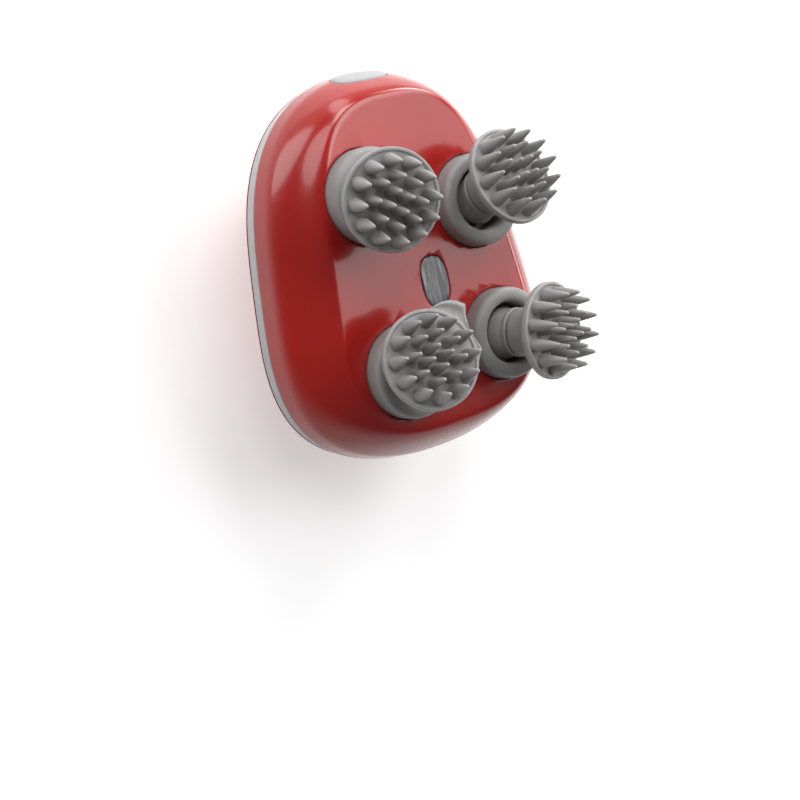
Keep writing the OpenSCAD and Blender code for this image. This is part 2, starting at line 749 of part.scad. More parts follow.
module head_cap(i) {
    fit = 0.05;
    color("darkgray") tilted(i) union() {
        rotate_extrude() polygon([[core_r + fit, neck_foot], [neck_r - 1.2, neck_foot],
            [neck_r - 0.4, neck_foot + 0.4], [neck_r, neck_foot + 1.3], [neck_r, rim_reach - 3.8],
            [neck_r + 0.5, rim_reach - 3], [neck_r + 1.6, rim_reach - 2.6], [disc_r - 1, rim_reach - 1.8],
            [disc_r - 0.2, rim_reach - 1.4], [disc_r, rim_reach - 1], [disc_r, rim_reach - 0.4],
            [disc_r - 0.3, rim_reach], [disc_r - 0.8, rim_reach], [disc_r - 1.3, floor_z], [0, floor_z],
            [0, hub_top + 0.1], [core_r + fit, hub_top + 0.1], [core_r + fit, neck_foot + 4.25],
            [barb_r + fit, neck_foot + 3.45], [barb_r + fit, neck_foot + 2.25],
            [core_r + fit, neck_foot + 1.95]]);
        pin_ring(outer_count, outer_ring_r, outer_pin_r, pin_turn[i]);
        pin_ring(middle_count, middle_ring_r, inner_pin_r, pin_turn[i] + 180 / middle_count);
        pin_ring(centre_count, centre_ring_r, inner_pin_r, pin_turn[i] + 180 / centre_count);
    }
}

// ---------------------------------------------------------------- power and controls

module battery_cell() {
    color("seagreen") translate([cell_x - cell_l / 2, cell_y, cell_z]) rotate([0, 90, 0]) {
        cylinder(r = cell_r, h = cell_l - 1);
        translate([0, 0, cell_l - 1 - eps]) cylinder(r = cell_r / 3, h = 1);
    }
}

module battery_saddles() {
    saddle_share = 0.32;
    saddle_w = 8;
    low_z = cell_z + 2;
    color("gray") for (s = [-1, 1]) difference() {
        translate([cell_x + s * saddle_share * cell_l - saddle_w / 2, cell_y - cell_r - 1, low_z])
            cube([saddle_w, 2 * cell_r + 2, base_bottom - low_z]);
        translate([cell_x + s * saddle_share * cell_l - saddle_w, cell_y, cell_z]) rotate([0, 90, 0])
            cylinder(r = cell_r + 0.1, h = 2 * saddle_w);
    }
}

// Board with a control chip and a smaller part
module main_board() {
    board_top = board_z + board_t - eps;
    color("darkgreen") {
        translate([board_x, -board_half_w, board_z])
            cube([socket_x + 5 - board_x, 2 * board_half_w, board_t]);
        translate([board_x + 7, -5, board_top]) cube([6.5, 7, 1.2]);
        translate([board_x + 3.5, 4, board_top]) cube([4, 3, 1.5]);
    }
}

// Metal shell with its mouth towards the port
socket_l = 8;
socket_w = 9;
socket_wall = 0.4;
module charging_socket() {
    color("silver") difference() {
        translate([socket_x, -socket_w / 2, board_z + board_t]) cube([socket_l, socket_w, socket_h]);
        translate([socket_x + 1, socket_wall - socket_w / 2, board_z + board_t + socket_wall])
            cube([socket_l, socket_w - 2 * socket_wall, socket_h - 2 * socket_wall]);
    }
}

module switch_board() {
    board_w = 14;
    tact_w = 6;
    color("darkgreen") on_button(-tact_back) {
        translate([-tact_board_l / 2, -board_w / 2, 0]) cube([tact_board_l, board_w, tact_board_t]);
        translate([-tact_w / 2, -tact_w / 2, tact_board_t - eps]) cube([tact_w, tact_w, tact_h + eps]);
    }
}

module power_button() {
    color("gainsboro") {
        intersection() {
            on_button(-button_back) linear_extrude(button_back + button_h) polygon(oval(button_h, button_w));
            loft(concat([egg_ring(front_edge - button_proud, band_top)], shoulder(-button_proud)));
        }
        on_button(-button_back) linear_extrude(button_flange) polygon(oval(button_h + 1.8, button_w + 1.8));
        on_button(-button_back - plunger_l) cylinder(r = 2, h = plunger_l + eps);
    }
}

// Soft plug that fills the port flush with the dome, with a tongue in the socket's mouth
module port_plug() {
    plug_proud = 0.3;
    tongue_l = 1.2;
    tongue = [7.6, 2];
    color("gainsboro") {
        intersection() {
            translate([0, 0, port_z]) along_x(plug_x, body_l) slot2d(port_w, port_h);
            loft(dome(-plug_proud, 3));
        }
        translate([0, 0, port_z]) along_x(plug_x - tongue_l, plug_x + eps) square(tongue, center = true);
    }
}

module screw(p, z_head, head_h, z_tip) {
    rod(p, screw_head_r, z_head - head_h, z_head);
    rod(p, screw_r, z_head - eps, z_tip);
}

module case_screws() {
    color("dimgray") for (p = case_post_at) screw(p, case_head_z, case_head_h, split_z + 8);
}

module deck_screws() {
    head_h = 1.6;
    color("dimgray") for (p = post_at) screw(p, base_bottom, head_h, face_z - wall - 1);
}

front_cover();
rear_cover();
grip_band();
cover_seal();
face_lens();
lens_board();
deck_plate();
base_plate();
deck_bushes();
base_bushes();
idler_pin();
motor_can();
motor_gearbox();
motor_screws();
battery_cell();
battery_saddles();
main_board();
charging_socket();
switch_board();
case_screws();
deck_screws();
power_button();
port_plug();
drive_gear();
drive_shaft();
idler_gear();
for (i = [0:3]) {
    boot(i);
    head_gear(i);
    crank_pin(i);
    pin_clip(i);
    hub(i);
    sleeve(i);
    head_cap(i);
}
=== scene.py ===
"""Looks of a handheld electric scalp massager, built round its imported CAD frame. Lengths are in millimetres."""
import json
import math

import bpy
import numpy as np
from mathutils import Matrix, Vector
from mathutils.bvhtree import BVHTree
from mathutils.geometry import delaunay_2d_cdt


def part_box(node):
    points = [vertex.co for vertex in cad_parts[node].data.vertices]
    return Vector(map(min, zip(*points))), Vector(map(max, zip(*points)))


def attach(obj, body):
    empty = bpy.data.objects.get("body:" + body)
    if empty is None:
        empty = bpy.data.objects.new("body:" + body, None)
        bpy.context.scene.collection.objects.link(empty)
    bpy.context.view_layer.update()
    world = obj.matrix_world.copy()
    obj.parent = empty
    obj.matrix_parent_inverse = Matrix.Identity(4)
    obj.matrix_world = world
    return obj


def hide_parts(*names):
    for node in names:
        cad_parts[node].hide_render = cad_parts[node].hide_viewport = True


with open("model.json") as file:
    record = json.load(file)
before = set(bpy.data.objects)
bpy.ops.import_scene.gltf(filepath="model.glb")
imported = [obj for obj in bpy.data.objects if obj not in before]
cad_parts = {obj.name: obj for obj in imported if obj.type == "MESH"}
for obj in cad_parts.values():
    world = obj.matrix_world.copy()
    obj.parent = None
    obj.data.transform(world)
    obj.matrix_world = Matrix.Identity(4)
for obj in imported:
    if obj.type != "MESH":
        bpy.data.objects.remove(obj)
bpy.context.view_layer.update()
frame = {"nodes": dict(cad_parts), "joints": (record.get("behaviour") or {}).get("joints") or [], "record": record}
MM = 0.001

# ---------------------------------------------------------------- sizes, tied to the frame

HEADS = ("ul", "ll", "ur", "lr")
joints = {j["name"]: j for j in frame["joints"]}

FRONT_EDGE = 0.2             # insets of the covers' rims from the widest outline
BACK_EDGE = 0.8
EGG_TAPER = 0.16             # how much an outline widens towards the far end
FACE_TAPER = 0.18
BODY_SHARP = (3.2, 2.2)      # squareness of an outline along X and along Y, where 2 is an ellipse
FACE_SHARP = (4, 3)
OVAL_SHARP = 2.6
FACE_L = 95                  # flat massage face
FACE_W = 62.5
FACE_SHIFT = 2
CREASE_DROP = 10             # crease that runs round the front cover
CREASE_INSET = 1
SLOPE_LINEAR = 0.35          # share of the shoulder's drop that is straight, while the rest is a curve
WALL = 2.2
LIP = 1.6                    # of both covers, behind the grip band
GROOVE_DEPTH = 2.4
DOME_LEAN = math.radians(37)
DOME_RUN = 31                # inset of the flat that the body rests on
BAND_GAP = 0.125             # between the grip band and the covers, above it and below it
HOLE_R = 13.75
BOOT_H = 5.5
AROUND = 288                 # points round the body's outline
OVAL_AROUND = 96             # points round the lens and the button
SHELL_ANGLE = 32             # degrees between faces above which an edge of a cover stays sharp


def node_box(node):
    """Lowest and highest corner of a CAD node at rest."""
    low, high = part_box(node)
    return low / MM, high / MM


FACE_Z = node_box("front_cover")[1].z
HALF_L = node_box("front_cover")[1].x + FRONT_EDGE
HALF_W = 44.9
SPLIT_Z = node_box("rear_cover")[1].z
GROOVE_LOW = node_box("grip_band")[0].z - BAND_GAP
GROOVE_HIGH = node_box("grip_band")[1].z + BAND_GAP
CREASE_Z = FACE_Z - CREASE_DROP


def head_frame(head):
    """Origin at the wobble centre, +Z along the tilted axis."""
    joint = joints[f"head_{head}_roll"]
    axis = Vector(joint["axis"]).normalized()
    lean = math.atan2(axis.y, axis.x)
    tilt = math.acos(axis.z)
    origin = Matrix.Translation(Vector(joint["pos_m"]) / MM)
    return origin @ Matrix.Rotation(lean, 4, "Z") @ Matrix.Rotation(tilt, 4, "Y")


# ---------------------------------------------------------------- mesh helpers


def new_object(name, points, faces, smooth_angle=40):
    """Object in the scene from points in millimetres."""
    mesh = bpy.data.meshes.new(name)
    mesh.from_pydata([Vector(p) * MM for p in points], [], faces)
    mesh.validate()
    mesh.update()
    obj = bpy.data.objects.new(name, mesh)
    bpy.context.scene.collection.objects.link(obj)
    shade(obj, smooth_angle)
    return obj


def shade(obj, angle):
    """Smooth shading with sharp edges above this angle in degrees."""
    obj.data.shade_smooth()
    obj.data.set_sharp_from_angle(angle=math.radians(angle))


def place(points, matrix):
    return [tuple(matrix @ Vector(p)) for p in points]


def strip(a, b, n):
    """Quads between ring a and ring b of n points each, which start at those indices."""
    return [(a + j, a + (j + 1) % n, b + (j + 1) % n, b + j) for j in range(n)]


def loft(name, rings, closed=False, cap_first=False, cap_last=False, smooth_angle=40):
    """Skin over rings of equal length. closed joins the last ring to the first."""
    n = len(rings[0])
    points = [tuple(p) for ring in rings for p in ring]
    m = len(rings)
    faces = []
    for i in range(m if closed else m - 1):
        faces += strip(i * n, ((i + 1) % m) * n, n)
    if cap_first:
        faces.append(tuple(reversed(range(n))))
    if cap_last:
        faces.append(tuple(range((m - 1) * n, m * n)))
    return new_object(name, points, faces, smooth_angle)


def rounded(corners, steps, closed=False):
    """Corners are (x, y) or (x, y, radius). Each corner with a radius becomes an arc-like curve."""
    out = []
    count = len(corners)
    for i, corner in enumerate(corners):
        p = Vector(corner[:2])
        radius = corner[2] if len(corner) > 2 else 0
        ends = not closed and i in (0, count - 1)
        if radius == 0 or ends:
            out.append(tuple(p))
            continue
        before = Vector(corners[i - 1][:2]) - p
        after = Vector(corners[(i + 1) % count][:2]) - p
        turn = before.angle(after)
        cut = min(radius / math.tan(turn / 2), 0.49 * before.length, 0.49 * after.length)
        a = p + before.normalized() * cut
        b = p + after.normalized() * cut
        for k in range(steps + 1):
            t = k / steps
            out.append(tuple(a * (1 - t) ** 2 + p * 2 * t * (1 - t) + b * t ** 2))
    return out


def revolve(name, profile, matrix, segments):
    """Closed solid of revolution about local Z from a closed (r, z) profile. r = 0 becomes one point."""
    points = []
    rows = []
    for r, z in profile:
        if r == 0:
            rows.append([len(points)] * segments)
            points.append((0, 0, z))
            continue
        rows.append([len(points) + j for j in range(segments)])
        for j in range(segments):
            a = 2 * math.pi * j / segments
            points.append((r * math.cos(a), r * math.sin(a), z))
    faces = []
    for i, row in enumerate(rows):
        nxt = rows[(i + 1) % len(rows)]
        for j in range(segments):
            k = (j + 1) % segments
            face = []
            for v in (row[j], row[k], nxt[k], nxt[j]):
                if v not in face:
                    face.append(v)
            if len(face) > 2:
                faces.append(tuple(face))
    return new_object(name, place(points, matrix), faces)


def apply_modifiers(obj):
    graph = bpy.context.evaluated_depsgraph_get()
    mesh = bpy.data.meshes.new_from_object(obj.evaluated_get(graph))
    obj.modifiers.clear()
    obj.data = mesh


def boolean(obj, tool, operation):
    """Cuts, joins or intersects obj with the tool, which is used up."""
    modifier = obj.modifiers.new("cut", "BOOLEAN")
    modifier.operation = operation
    modifier.solver = "EXACT"
    modifier.object = tool
    apply_modifiers(obj)
    bpy.data.objects.remove(tool)


def finish_piece(obj, body, material, replaced=()):
    """Gives a piece its material and the body it rides on, and hides the CAD nodes it stands for."""
    obj.data.materials.clear()
    obj.data.materials.append(material)
    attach(obj, body)
    if replaced:
        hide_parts(*replaced)


# ---------------------------------------------------------------- body outline


def wedge(v, sharp):
    """Sine or cosine, squared up by the sharpness of a superellipse."""
    return np.sign(v) * np.abs(v) ** (2 / sharp)


# Denser towards the four flat sides, where a squared outline spreads its points
STEPS = np.linspace(0, 2 * np.pi, AROUND, endpoint=False)
ANGLES = STEPS - 0.9 * np.sin(4 * STEPS) / 4


def egg(half_l, half_w, taper, sharp):
    """Squared oval that is wider at its +X end."""
    ux = wedge(np.cos(ANGLES), sharp[0])
    uy = wedge(np.sin(ANGLES), sharp[1])
    return np.stack([half_l * ux, half_w * uy * (1 + taper * ux)], 1)


def egg_ring(inset, z):
    """Ring of the body's widest outline, drawn in by inset."""
    flat = egg(HALF_L - inset, HALF_W - inset, EGG_TAPER, BODY_SHARP)
    return np.column_stack([flat, np.full(AROUND, float(z))])


def face_ring(inset, z):
    """Ring of the flat massage face's outline, drawn in by inset."""
    flat = egg(FACE_L / 2 - inset, FACE_W / 2 - inset, FACE_TAPER, FACE_SHARP) + [0, FACE_SHIFT]
    return np.column_stack([flat, np.full(AROUND, float(z))])


def slope_ring(u, inset=0.0):
    """Ring on the shoulder: u is 0 at the flat face and 1 at the crease."""
    top = face_ring(inset / 2, FACE_Z - inset)
    low = egg_ring(CREASE_INSET + inset, CREASE_Z)
    ring = top + (low - top) * u
    drop = CREASE_DROP - inset
    ring[:, 2] = FACE_Z - inset - drop * (SLOPE_LINEAR * u + (1 - SLOPE_LINEAR) * u * u)
    return ring


def soften(rings, first, last, rounds):
    """Rounds the edges that run round the body, by averaging along the profile between two ring numbers."""
    rings = np.array(rings)
    for _ in range(rounds):
        before, own, after = rings[first - 1:last - 1], rings[first:last], rings[first + 1:last + 1]
        rings[first:last] += 0.25 * (before + after - 2 * own)
    return rings


# ---------------------------------------------------------------- materials


class Shader:
    """A node material with its Principled shader and short calls that add nodes.

    Scales of noise are per metre, in the object's own coordinates.
    """

    def __init__(self, name, color, roughness, **values):
        self.material = bpy.data.materials.new(name)
        self.material.use_nodes = True
        self.tree = self.material.node_tree
        self.bsdf = self.tree.nodes["Principled BSDF"]
        self.bsdf.inputs["Base Color"].default_value = (*color, 1)
        self.bsdf.inputs["Roughness"].default_value = roughness
        for key, value in values.items():
            self.bsdf.inputs[key.replace("_", " ")].default_value = value
        self.coords = self.tree.nodes.new("ShaderNodeTexCoord").outputs["Object"]

    def node(self, kind, **values):
        node = self.tree.nodes.new(kind)
        for key, value in values.items():
            setattr(node, key, value)
        return node

    def link(self, source, target):
        self.tree.links.new(source, target)

    def noise(self, scale, detail, roughness=0.5, stretch=(1, 1, 1)):
        mapping = self.node("ShaderNodeMapping")
        mapping.inputs["Scale"].default_value = stretch
        self.link(self.coords, mapping.inputs["Vector"])
        node = self.node("ShaderNodeTexNoise")
        node.inputs["Scale"].default_value = scale
        node.inputs["Detail"].default_value = detail
        node.inputs["Roughness"].default_value = roughness
        self.link(mapping.outputs["Vector"], node.inputs["Vector"])
        return node.outputs["Fac"]

    def ramp(self, source, stops):
        node = self.node("ShaderNodeValToRGB")
        ramp = node.color_ramp
        while len(ramp.elements) < len(stops):
            ramp.elements.new(0.5)
        for element, (position, color) in zip(ramp.elements, stops):
            element.position = position
            element.color = (*color, 1)
        self.link(source, node.inputs["Fac"])
        return node.outputs["Color"]

    def grey_ramp(self, source, low, high):
        """Both low and high are (position, value)."""
        return self.ramp(source, [(low[0], (low[1],) * 3), (high[0], (high[1],) * 3)])

    def mix(self, factor, a, b):
        node = self.node("ShaderNodeMix", data_type="RGBA")
        for socket, value in ((node.inputs["Factor"], factor), (node.inputs["A"], a), (node.inputs["B"], b)):
            if isinstance(value, bpy.types.NodeSocket):
                self.link(value, socket)
            elif isinstance(value, tuple):
                socket.default_value = (*value, 1)
            else:
                socket.default_value = value
        return [s for s in node.outputs if s.type == "RGBA"][0]

    def attribute(self, name):
        return self.node("ShaderNodeAttribute", attribute_name=name).outputs["Fac"]

    def color(self, source):
        self.link(source, self.bsdf.inputs["Base Color"])
        return self

    def roughness(self, source):
        self.link(source, self.bsdf.inputs["Roughness"])
        return self

    def bump(self, source, distance_mm, strength):
        node = self.node("ShaderNodeBump")
        node.inputs["Strength"].default_value = strength
        node.inputs["Distance"].default_value = distance_mm * MM
        self.link(source, node.inputs["Height"])
        # A finer bump takes the coarser one before it as its normal
        previous = self.bsdf.inputs["Normal"].links
        if previous:
            self.link(previous[0].from_socket, node.inputs["Normal"])
        self.link(node.outputs["Normal"], self.bsdf.inputs["Normal"])
        return self


def glossy_red():
    """Clear-coated red plastic with a slight waviness and fine wear in its gloss."""
    s = Shader("glossy_red_abs", (0.4, 0.01, 0.006), 0.2, Coat_Weight=0.45, Coat_Roughness=0.09,
               Specular_IOR_Level=0.5)
    s.color(s.ramp(s.noise(28, 2), [(0.3, (0.37, 0.009, 0.006)), (0.7, (0.43, 0.011, 0.007))]))
    s.roughness(s.grey_ramp(s.noise(900, 4, 0.6), (0.35, 0.17), (0.75, 0.27)))
    s.bump(s.noise(45, 1), 0.05, 0.25)
    s.bump(s.noise(2500, 2), 0.004, 0.4)
    return s.material


def silicone(name, color, painted_light_color=None):
    """Matt grey silicone with a few pale specks of dust. A point attribute can ask for a paler colour on the pin
    tips, the lip and the flap's edge. That is painted light: light falling on thin silicone and shining through
    it.
    """
    s = Shader(name, color, 0.5, Sheen_Weight=0.1)
    dark = tuple(c * 0.9 for c in color)
    light = tuple(min(1, c * 1.08) for c in color)
    base = s.ramp(s.noise(160, 3), [(0.3, dark), (0.7, light)])
    # Painted light: mixes towards the paler colour where the point attribute asks for it
    if painted_light_color:
        base = s.mix(s.attribute("tip"), base, painted_light_color)
    specks = s.grey_ramp(s.noise(1700, 0), (0.805, 0.0), (0.84, 0.5))
    base = s.mix(specks, base, (0.62, 0.62, 0.6))
    s.color(base)
    s.roughness(s.grey_ramp(s.noise(400, 4), (0.3, 0.42), (0.7, 0.58)))
    s.bump(s.noise(1500, 3), 0.02, 0.35)
    return s.material


def streaky_lens():
    """Dark window with pale streaks that run along it: partly scratches and smudges, partly the painted sheen of
    glossy smears.
    """
    s = Shader("streaky_dark_lens", (0.06, 0.06, 0.065), 0.16, Coat_Weight=0.2, Coat_Roughness=0.08)
    streaks = s.noise(900, 4, 0.65, stretch=(0.09, 1, 0.2))
    # The pale streaks in the colour are partly scratches and partly painted sheen
    s.color(s.ramp(streaks, [(0.36, (0.045, 0.045, 0.05)), (0.55, (0.13, 0.13, 0.14)),
                             (0.72, (0.42, 0.42, 0.44))]))
    s.roughness(s.grey_ramp(streaks, (0.35, 0.12), (0.7, 0.4)))
    s.bump(streaks, 0.05, 0.6)
    return s.material


def satin_plastic(name, color, roughness):
    s = Shader(name, color, roughness)
    grain = 700
    dark = tuple(c * 0.93 for c in color)
    s.color(s.ramp(s.noise(90, 3), [(0.3, dark), (0.7, color)]))
    s.roughness(s.grey_ramp(s.noise(grain, 3), (0.3, roughness - 0.06), (0.7, roughness + 0.08)))
    s.bump(s.noise(grain * 2, 2), 0.012, 0.4)
    return s.material


def metal(name, color, roughness):
    s = Shader(name, color, roughness, Metallic=1.0)
    grain = s.noise(600, 3, stretch=(1, 1, 8))
    s.color(s.ramp(grain, [(0.3, tuple(c * 0.85 for c in color)), (0.7, color)]))
    s.roughness(s.grey_ramp(grain, (0.3, roughness - 0.08), (0.7, roughness + 0.1)))
    s.bump(grain, 0.01, 0.3)
    return s.material


def circuit_board():
    s = Shader("circuit_board", (0.02, 0.16, 0.06), 0.35, Coat_Weight=0.4)
    s.color(s.ramp(s.noise(350, 1), [(0.45, (0.015, 0.12, 0.045)), (0.5, (0.03, 0.24, 0.09))]))
    s.bump(s.noise(350, 1), 0.03, 0.4)
    return s.material


RED = glossy_red()
SILICONE = silicone("grey_silicone", (0.295, 0.29, 0.282))
# Its paler colour is painted light on the pin tips, the lip and the flap's edge
HEAD_SILICONE = silicone("grey_silicone_head_painted_light", (0.3, 0.296, 0.288), painted_light_color=(0.46, 0.45, 0.435))
STRIP_GREY = satin_plastic("light_grey_strip", (0.52, 0.545, 0.55), 0.38)
BUTTON_GREY = satin_plastic("light_grey_pad", (0.44, 0.45, 0.45), 0.5)
PLUG_GREY = satin_plastic("light_grey_plug", (0.5, 0.53, 0.53), 0.55)
DARK_RUBBER = satin_plastic("dark_rubber", (0.03, 0.03, 0.03), 0.7)
LENS = streaky_lens()
ABS_GREY = satin_plastic("chassis_grey", (0.5, 0.5, 0.49), 0.5)
HUB_DARK = satin_plastic("hub_dark_grey", (0.09, 0.09, 0.09), 0.5)
ACETAL = satin_plastic("gear_acetal", (0.8, 0.78, 0.7), 0.35)
STEEL = metal("ground_steel", (0.6, 0.6, 0.6), 0.28)
SCREW_STEEL = metal("black_screw_steel", (0.08, 0.08, 0.085), 0.35)
BRONZE = metal("sintered_bronze", (0.55, 0.36, 0.2), 0.45)
CELL_WRAP = satin_plastic("cell_wrap", (0.03, 0.25, 0.16), 0.3)
BOARD = circuit_board()

SLOT_MATERIALS = {
    "shell_red": RED, "band_grey": STRIP_GREY, "seal_rubber": DARK_RUBBER, "lens_dark": LENS,
    "board_green": BOARD, "silicone_boot": SILICONE, "silicone_head": HEAD_SILICONE,
    "chassis_abs": ABS_GREY, "bronze": BRONZE, "steel": STEEL, "motor_steel": STEEL,
    "screw_steel": SCREW_STEEL, "cell_wrap": CELL_WRAP, "gear_acetal": ACETAL,
    "hub_plastic": HUB_DARK, "button_grey": BUTTON_GREY, "plug_grey": PLUG_GREY,
}
for subpart in frame["record"]["subparts"]:
    cad = frame["nodes"][subpart["node"]]
    cad.data.materials.clear()
    cad.data.materials.append(SLOT_MATERIALS[subpart["material_slot"]])

# ---------------------------------------------------------------- covers

FACE_STEPS = 34              # rings on the shoulder
SIDE_STEPS = 14              # rings between the grip band and the crease
SPLIT_GAP = 0.1              # between the two covers' lips
FRONT_RIM = ((0.4, 0), (0.16, 0.07), (0.04, 0.27))      # inset and rise of its rounded edge
REAR_RIM = ((0.2, 0.26), (0.1, 0.1), (0.14, 0.02), (0.3, 0))      # inset and drop of its rounded edge


def front_rings():
    """Rings of the front cover's outside up to the edge of its flat face, and the rings within that face."""
    lip = [egg_ring(GROOVE_DEPTH + LIP, SPLIT_Z + SPLIT_GAP), egg_ring(GROOVE_DEPTH, SPLIT_Z + SPLIT_GAP)]
    lip += [egg_ring(GROOVE_DEPTH, GROOVE_HIGH)]
    edge = [egg_ring(FRONT_EDGE + d, GROOVE_HIGH + up) for d, up in FRONT_RIM]
    side = []
    start = GROOVE_HIGH + FRONT_RIM[-1][1]
    for k in range(SIDE_STEPS):
        t = (k + 1) / (SIDE_STEPS + 1)
        inset = FRONT_EDGE + (CREASE_INSET - FRONT_EDGE) * t
        side.append(egg_ring(inset, start + (CREASE_Z - start) * t))
    slope = [slope_ring(1 - k / FACE_STEPS) for k in range(FACE_STEPS + 1)]
    near = [face_ring(0.5 * k, FACE_Z) for k in range(1, 9)]
    outside = lip + edge + side + slope
    rings = soften(outside + near, 8, len(outside) + 6, 7)
    centre = np.array([0, FACE_SHIFT, FACE_Z])
    inner = [centre + (near[-1] - centre) * s for s in (0.85, 0.7, 0.55, 0.4, 0.25, 0.1)]
    return list(rings), inner


def closed_shell(name, outer, inner_skin):
    """Outer rings end in a small ring that is capped, and so does the inner skin."""
    rings = outer + list(reversed(inner_skin))
    n = AROUND
    points = [tuple(p) for ring in rings for p in ring]
    faces = []
    breaks = len(outer) - 1
    for i in range(len(rings)):
        if i == breaks:
            continue
        faces += strip(i * n, ((i + 1) % len(rings)) * n, n)
    faces.append(tuple(range(breaks * n, (breaks + 1) * n)))
    faces.append(tuple(reversed(range((breaks + 1) * n, (breaks + 2) * n))))
    return new_object(name, points, faces, SHELL_ANGLE)


def flared_cutter(radius, x, y, low):
    """Cylinder that opens out at the face, which leaves a rounded edge on the hole."""
    flare = 0.28
    wide = radius + flare + 0.4
    above = FACE_Z + 12
    profile = [(0, low), (radius, low), (radius, FACE_Z - flare)]
    for k in range(1, 5):
        a = math.pi / 2 * k / 4
        profile.append((radius + flare * (1 - math.cos(a)), FACE_Z - flare + flare * math.sin(a)))
    profile += [(wide, FACE_Z + 0.05), (wide, above), (0, above)]
    return revolve("cutter", profile, Matrix.Translation((x, y, 0)), 128)


def oval_points(half_x, half_y, sharp=OVAL_SHARP):
    a = np.linspace(0, 2 * np.pi, OVAL_AROUND, endpoint=False)
    return np.stack([half_x * wedge(np.cos(a), sharp), half_y * wedge(np.sin(a), sharp)], 1)


def oval_ring(half_x, half_y, z, matrix):
    return place([(x, y, z) for x, y in oval_points(half_x, half_y)], matrix)


lens_low, lens_high = node_box("face_lens")
LENS_FLANGE = 1.2
LENS_X = (lens_low.x + lens_high.x) / 2
LENS_Y = (lens_low.y + lens_high.y) / 2
LENS_HALF = ((lens_high.x - lens_low.x) / 2 - LENS_FLANGE, (lens_high.y - lens_low.y) / 2 - LENS_FLANGE)
LENS_SPOT = Matrix.Translation((LENS_X, LENS_Y, 0))
TRIM_GAP = 0.25              # round the lens, the button and the plug

BUTTON_LIFT = math.asin(-Vector(joints["button_press"]["axis"]).normalized().z)
BUTTON_SHARE = 0.97          # of the way down the shoulder
BUTTON_DEPTH = WALL + 2.3    # of the flange that holds the pad in its hole
BUTTON_FLANGE = 0.9
BUTTON_HALF = (4.5, 9)
BUTTON_PROUD = 0.5
SHOULDER_RUN = HALF_L - CREASE_INSET - FACE_L / 2
BUTTON_X = -FACE_L / 2 - BUTTON_SHARE * SHOULDER_RUN
BUTTON_Z = FACE_Z - CREASE_DROP * BUTTON_SHARE * (SLOPE_LINEAR + (1 - SLOPE_LINEAR) * BUTTON_SHARE)
button_frame = Matrix.Translation((BUTTON_X, 0, BUTTON_Z)) @ Matrix.Rotation(BUTTON_LIFT - math.pi / 2, 4, "Y")


def front_cover():
    """Open shell with its holes. Returns the outside as it was before them, for what follows it."""
    rings, centre_rings = front_rings()
    inner = [egg_ring(GROOVE_DEPTH + LIP, SPLIT_Z + SPLIT_GAP), egg_ring(GROOVE_DEPTH + LIP, GROOVE_HIGH + LIP)]
    inner += [slope_ring(1 - k / 8, WALL) for k in range(9)]
    middle = np.array([0, FACE_SHIFT, FACE_Z - WALL])
    inner += [middle + (inner[-1] - middle) * s for s in (0.5, 0.1)]
    shell = closed_shell("front_shell", rings[1:] + centre_rings, inner)
    surface = BVHTree.FromObject(shell, bpy.context.evaluated_depsgraph_get())
    for head in HEADS:
        x, y, _ = (Vector(joints[f"head_{head}_roll"]["pos_m"]) / MM)
        boolean(shell, flared_cutter(HOLE_R, x, y, FACE_Z - 9), "DIFFERENCE")
    half_x, half_y = (h + TRIM_GAP for h in LENS_HALF)
    flare = ((0, -6), (0, -0.25), (0.05, -0.12), (0.16, -0.03), (0.3, 0.02), (0.3, 5))
    cutter = loft("cutter", [oval_ring(half_x + d, half_y + d, FACE_Z + up, LENS_SPOT) for d, up in flare],
                  cap_first=True, cap_last=True)
    boolean(shell, cutter, "DIFFERENCE")
    half_x, half_y = (h + TRIM_GAP for h in BUTTON_HALF)
    cutter = loft("cutter", [oval_ring(half_x, half_y, z, button_frame) for z in (-6, 6)],
                  cap_first=True, cap_last=True)
    boolean(shell, cutter, "DIFFERENCE")
    shade(shell, SHELL_ANGLE)
    finish_piece(shell, "housing", RED, ["front_cover"])
    return surface


def dome_ring(inset, t):
    """t is 0 at the band and 1 at the flat that the body rests on."""
    rim = BACK_EDGE + inset / math.cos(DOME_LEAN)
    foot = BACK_EDGE + GROOVE_LOW * math.tan(DOME_LEAN) + inset * math.tan(math.pi / 4 - DOME_LEAN / 2)
    up = (1 - t) ** 2
    return egg_ring(rim * up + 2 * foot * t * (1 - t) + DOME_RUN * t * t, GROOVE_LOW * up + inset * (1 - up))


CASE_POSTS = ((-39.5, -17), (-37, 17), (44.5, 16.5), (4, -33.5), (7, 37))
POST_R = 2.9
POST_DROP = 0.3              # from the split to the posts' ends
POCKET_WALL = 0.7
POCKET_R = 2.5               # of the wells that hide the screw heads
SCREW_HEAD_H = 1.8
SEAT_Z = node_box("case_screws")[0].z + SCREW_HEAD_H
POST_SIDES = 48

plug_low, plug_high = node_box("port_plug")
PLUG_HALF = ((plug_high.y - plug_low.y) / 2, (plug_high.z - plug_low.z) / 2)
PLUG_Z = (plug_high.z + plug_low.z) / 2
TONGUE_L = 1.2               # of the plug, in the charging socket's mouth
TONGUE_HALF = (3.8, 1)
TONGUE_SHARP = 8
PLUG_X = plug_low.x + TONGUE_L


def slot_points(half_w, half_h):
    """Outline of a rounded slot."""
    steps = 16
    out = []
    for side, start in ((1, -90), (-1, 90)):
        for k in range(steps + 1):
            a = math.radians(start + 180 * k / steps)
            out.append((side * (half_w - half_h) + half_h * math.cos(a), half_h * math.sin(a)))
    return out


def slot_ring(half_w, half_h, x):
    return [(x, u, PLUG_Z + v) for u, v in slot_points(half_w, half_h)]


